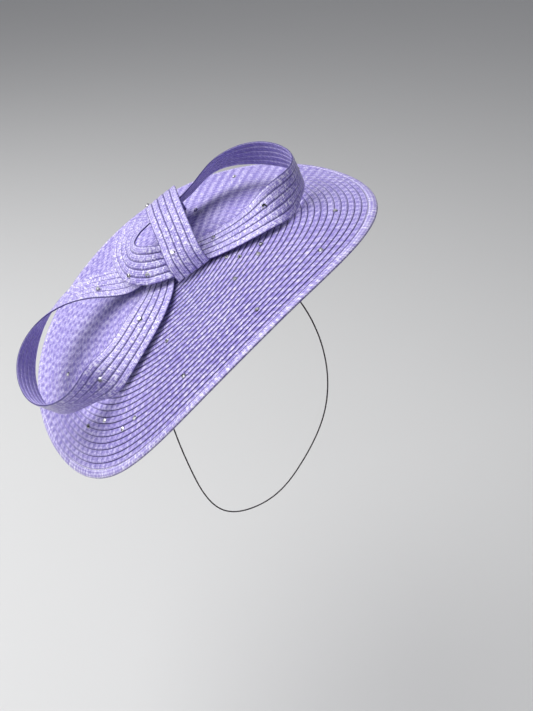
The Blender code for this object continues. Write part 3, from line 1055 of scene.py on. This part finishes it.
# ---- Cap -------------------------------------
@dataclass
class Cap:
    """Small stiffened cap under the brim, with a ribbed band and its stitches."""

    sphere: float = 88 * MM
    wall: float = 1.5 * MM
    rim: float = 58 * MM
    band_width: float = 18 * MM
    band: float = 0.8 * MM
    gap: float = 0.35 * MM
    spokes: int = 128
    rings: int = 22
    band_rings: int = 12
    band_inset: float = 3 * MM
    rib: float = 1.1 * MM
    stitches: int = 60
    stitch: float = 0.32 * MM
    stitch_stretch: float = 4.2
    stitch_inset: float = 5 * MM
    wander: float = 0.12  # how far a stitch strays, as a share of its spacing

    def _dome(self, sphere: Any, reach: Any) -> np.ndarray:
        """Rings on a sphere that hangs below the brim.

        Args:
            sphere: The sphere's radius, for each ring.
            reach: Each ring's own radius.

        Returns:
            Points, one row a ring.
        """
        sphere, reach = np.broadcast_arrays(np.asarray(sphere, float), np.asarray(reach, float))
        drop = sphere - np.sqrt(sphere ** 2 - reach ** 2)
        height = sphere - self.sphere - HAT.crown - drop
        turn = np.linspace(0, 2 * math.pi, self.spokes + 1)
        points = HAT.worn(reach[:, None] * np.cos(turn), reach[:, None] * np.sin(turn),
                          height[:, None])
        points[:, -1] = points[:, 0]
        return points

    def build(self) -> None:
        """Build the cap, its band and the stitches."""
        self._cap()
        self._band()
        self._stitches()

    def _cap(self) -> None:
        """The cap's shell, with a rounded rim."""
        outer = self.sphere + self.wall
        rise = np.linspace(0, self.rim, self.rings)
        reach = np.concatenate([rise, [self.rim + 0.45 * MM], rise[::-1]])
        sphere = np.concatenate([np.full(self.rings, outer), [outer - self.wall / 2],
                                 np.full(self.rings, self.sphere)])
        places = self._dome(sphere, reach)
        turn = np.linspace(0, 2 * math.pi, self.spokes + 1)
        flat = reach[:, None, None] * np.stack([np.cos(turn), np.sin(turn)], axis=-1) / MM
        marks = np.stack([np.stack([flat[:-1, :-1], flat[:-1, 1:]], axis=2),
                          np.stack([flat[1:, :-1], flat[1:, 1:]], axis=2)], axis=2)
        keep("cap_shell", sheet(places, marks), Cloth("cap_cloth").make(),
             ["head_cap"])

    def _band(self) -> None:
        """The ribbed ribbon inside the rim."""
        n = self.band_rings
        steps = np.linspace(self.rim - self.band_width, self.rim - self.band_inset, n)
        reach = np.concatenate([steps, steps[::-1], steps[:1]])
        faced = self.sphere - self.gap
        sphere = np.concatenate([np.full(n, faced), np.full(n, faced - self.band), [faced]])
        places = self._dome(sphere, reach)
        places[-1] = places[0]
        wave = 0.075 * MM * np.cos(np.arange(self.spokes + 1) * math.pi) / self.band
        places[n:2 * n] += (places[n:2 * n] - places[:n][::-1]) * wave[None, :, None]
        ribs = round(2 * math.pi * self.rim / self.rib)
        turn = ribs * np.arange(self.spokes + 1) / self.spokes
        rise = np.linspace(0, 1, n)
        marks = turned_marks(turn, np.concatenate([rise, rise[::-1], [0]]))
        keep("petersham_band", sheet(places, marks), Petersham("band_ribbon").make(),
             ["cap_band"])

    def _stitches(self) -> None:
        """Hand stitches that hold the band to the cap's rim."""
        bm = bmesh.new()
        draw = np.random.default_rng(SEED)
        stretch = Matrix.Diagonal((self.stitch_stretch, 1, 1, 1))
        lining = self.sphere - self.gap - self.band
        reach = self.rim - self.stitch_inset
        height = math.sqrt(lining ** 2 - reach ** 2) - self.sphere - HAT.crown
        for k in range(self.stitches):
            turn = 2 * math.pi * (k + float(draw.uniform(-self.wander, self.wander)))
            turn /= self.stitches
            at = HAT.worn(reach * math.cos(turn), reach * math.sin(turn), height)
            near = HAT.worn(reach * math.cos(turn + 0.01), reach * math.sin(turn + 0.01), height)
            made = bmesh.ops.create_icosphere(bm, subdivisions=1, radius=self.stitch)
            move = placed(at, (1, 0, 0), unit(near - at)) @ stretch
            bmesh.ops.transform(bm, verts=made["verts"], matrix=move)
        keep("band_stitches", bm, Thread("sewing_thread").make(), [], sharp=80)


# ---- Elastic ---------------------------------
@dataclass
class Elastic:
    """Round elastic from one side of the cap to the other, knotted at both ends."""

    radius: float = 0.65 * MM
    reach: float = 54.5 * MM
    down: float = -28.5 * MM
    length: float = 0.595
    points: int = 400
    sides: int = 12
    knot: float = 0.5148 * MM
    knot_points: int = 97
    knot_sides: int = 10
    tight: float = 0.85  # thickness of the elastic in the knot, as a share
    # Worn frame, mm: from the low side, under the back of the head, to the raised side.
    route: tuple = ((-6, -11, -140), (9, 0, -201), (20, 10, -235), (44, 27, -266), (77, 42, -264),
                    (110, 47, -222), (131, 45, -158), (126, 40, -88), (96, 34, -28))

    def build(self) -> None:
        finish = BraidedElastic("elastic_cover").make()
        low = HAT.worn(-self.reach, 0, self.down)
        high = HAT.worn(self.reach, 0, self.down)
        line = smooth_row([low, *(np.array(self.route) * MM), high], self.points)
        cord = keep("elastic", tube(line, self.radius, self.sides, COVER), finish,
                    ["elastic_cord"], sharp=80)
        knots = [self._knot("low", -1, finish), self._knot("raised", 1, finish)]

    def _knot(self, side: str, sign: int, finish: bpy.types.Material) -> bpy.types.Object:
        """An overhand knot drawn tight inside the cap's rim.

        Args:
            side: Which end it is at.
            sign: -1 at the low side, 1 at the raised one.
            finish: The elastic's finish.

        Returns:
            The knot.
        """
        t = np.linspace(0, 2 * math.pi, self.knot_points)
        bend = np.stack([np.sin(t) + 2 * np.sin(2 * t), np.cos(t) - 2 * np.cos(2 * t),
                         -1.25 * np.sin(3 * t)], axis=1) * self.knot
        middle = HAT.worn(sign * (self.reach - 5.5 * MM), 0, self.down + 2.2 * MM)
        line = bend @ HAT.tilt().T + middle
        line[-1] = line[0]
        mesh = tube(line, self.radius * self.tight, self.knot_sides, COVER, closed=True)
        return keep(f"knot_{side}", mesh, finish, [f"elastic_knot_{side}"], sharp=80)


# ---- Studio ----------------------------------
@dataclass
class Studio:
    """Camera, pale floor and soft light."""

    camera_at: tuple = (0.0761, -0.7289, 0.3462)
    pitch: float = math.radians(60)
    lens: float = 49.9
    floor_level: float = -0.62
    floor_size: float = 14.0
    ambient: float = 0.33
    # Name, place, size, power in watts.
    lamps: tuple = (("key", (-1.25, 0.0, 1.6), 2.4, 76.0), ("fill", (-0.9, -2.0, 1.4), 2.2, 8.0),
                    ("top", (-0.3, 0.9, 1.9), 1.4, 8.0))

    def build(self) -> None:
        """Set up the studio."""
        scene = bpy.context.scene
        scene.view_settings.view_transform = "Standard"
        eye = bpy.data.cameras.new("studio_camera")
        eye.lens = self.lens
        eye.clip_start, eye.clip_end = 0.01, 50.0
        camera = bpy.data.objects.new("studio_camera", eye)
        camera.location = self.camera_at
        camera.rotation_euler = (self.pitch, 0.0, 0.0)
        scene.collection.objects.link(camera)
        scene.camera = camera
        self._floor()
        for name, place, size, power in self.lamps:
            self._lamp(name, Vector(place), size, power)
        world = bpy.data.worlds.new("studio_air")
        world.use_nodes = True
        world.node_tree.nodes["Background"].inputs[0].default_value = (0.93, 0.94, 1.0, 1.0)
        world.node_tree.nodes["Background"].inputs[1].default_value = self.ambient
        scene.world = world

    def _floor(self) -> None:
        """Plain pale floor."""
        bm = bmesh.new()
        bmesh.ops.create_grid(bm, x_segments=2, y_segments=2, size=self.floor_size / 2)
        bmesh.ops.translate(bm, verts=bm.verts, vec=(0, 0, self.floor_level))
        mesh = bpy.data.meshes.new("studio_floor")
        bm.to_mesh(mesh)
        bm.free()
        mesh.materials.append(Floor().make())
        floor = bpy.data.objects.new("studio_floor", mesh)
        bpy.context.scene.collection.objects.link(floor)

    def _lamp(self, name: str, place: Vector, size: float, power: float) -> None:
        """One soft square lamp that faces the hat.

        Args:
            name: Its name.
            place: Where it hangs.
            size: Length of its side.
            power: Its power in watts.
        """
        light = bpy.data.lights.new(name, "AREA")
        light.shape, light.size, light.energy = "SQUARE", size, power
        lamp = bpy.data.objects.new(name, light)
        lamp.location = place
        lamp.rotation_euler = (-place).to_track_quat("-Z", "Y").to_euler()
        bpy.context.scene.collection.objects.link(lamp)


def main() -> None:
    """Build the studio and every piece, in order."""
    logging.basicConfig(level=logging.INFO, format="%(name)s: %(message)s")
    Studio().build()
    Elastic().build()
    Brim().build()
    ribbons = Bow().build()
    Stones().build(ribbons)
    Cap().build()


if __name__ == "__main__":
    main()
